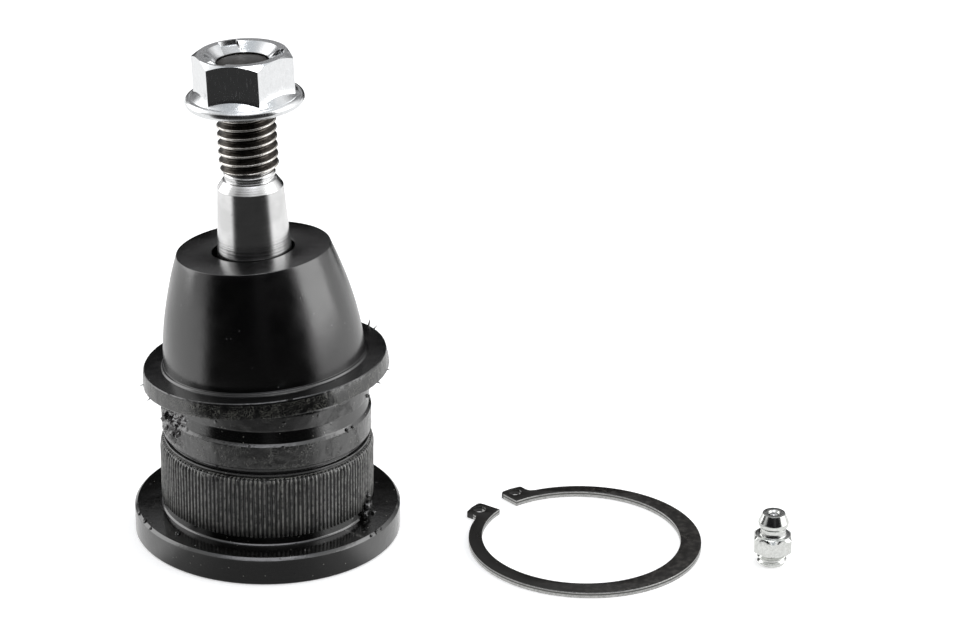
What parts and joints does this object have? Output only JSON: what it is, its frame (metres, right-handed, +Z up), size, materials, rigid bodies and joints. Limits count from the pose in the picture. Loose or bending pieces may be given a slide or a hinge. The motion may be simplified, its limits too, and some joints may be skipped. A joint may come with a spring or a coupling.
{
  "type": "suspension ball joint",
  "caption": "press-in suspension ball joint with a leaning tapered stud, flange nut, rubber dust boot, loose snap ring and grease fitting",
  "frame": {"origin": "centre of the housing's bottom face, on the axis of the press band", "axes": "+Z up along the housing's axis; -Y towards the picture's camera; the loose ring and fitting lie towards +X"},
  "size_m": [0.1427, 0.0625, 0.1093],
  "materials": {
    "coated_steel": "black electro-coated forged steel",
    "polished_steel": "turned and polished steel",
    "bearing_steel": "ground bearing steel",
    "spring_steel": "dark spring steel",
    "phosphate_steel": "black phosphated spring steel",
    "zinc_plate": "bright zinc plating",
    "boot_rubber": "semi-gloss black rubber"
  },
  "bodies": {
    "base": {"housing": "coated_steel", "cover_plate": "coated_steel", "preload_spring": "spring_steel", "pressure_cup": "bearing_steel"},
    "race": {"bearing_race": "bearing_steel"},
    "half_ball": {"half_ball_bearing": "bearing_steel", "dust_boot": "boot_rubber"},
    "stud": {"ball_stud": "polished_steel"},
    "nut": {"flange_nut": "zinc_plate"},
    "ring": {"snap_ring": "phosphate_steel"},
    "fitting": {"fitting_body": "zinc_plate", "fitting_spring": "spring_steel"},
    "check_ball": {"fitting_check_ball": "bearing_steel"}
  },
  "joints": [
    {"name": "swivel", "type": "hinge", "parent": "base", "child": "race", "pos_m": [0, 0, 0.02], "axis": [0, 0, 1], "continuous": true},
    {"name": "tilt", "type": "hinge", "parent": "race", "child": "half_ball", "pos_m": [0, 0, 0.02], "axis": [-0.3714, -0.9285, 0], "range_deg": [-24.8, 18.9], "deforming": ["dust_boot"]},
    {"name": "stud_spin", "type": "hinge", "parent": "half_ball", "child": "stud", "pos_m": [0, 0, 0.02], "axis": [-0.0499, 0.02, 0.9986], "continuous": true},
    {"name": "nut_turn", "type": "hinge", "parent": "stud", "child": "nut", "pos_m": [0, 0, 0.02], "axis": [-0.0499, 0.02, 0.9986], "continuous": true},
    {"name": "ring_lift", "type": "slide", "parent": "base", "child": "ring", "axis": [0, 0, 1], "range_m": [0, 0.06]},
    {"name": "fitting_lift", "type": "slide", "parent": "base", "child": "fitting", "axis": [0, 0, 1], "range_m": [0, 0.06]},
    {"name": "check_ball_press", "type": "slide", "parent": "fitting", "child": "check_ball", "axis": [0, 0, -1], "range_m": [0, 0.001], "stiffness_N_per_m": 100, "springref_m": -0.001, "deforming": ["fitting_spring"]}
  ]
}
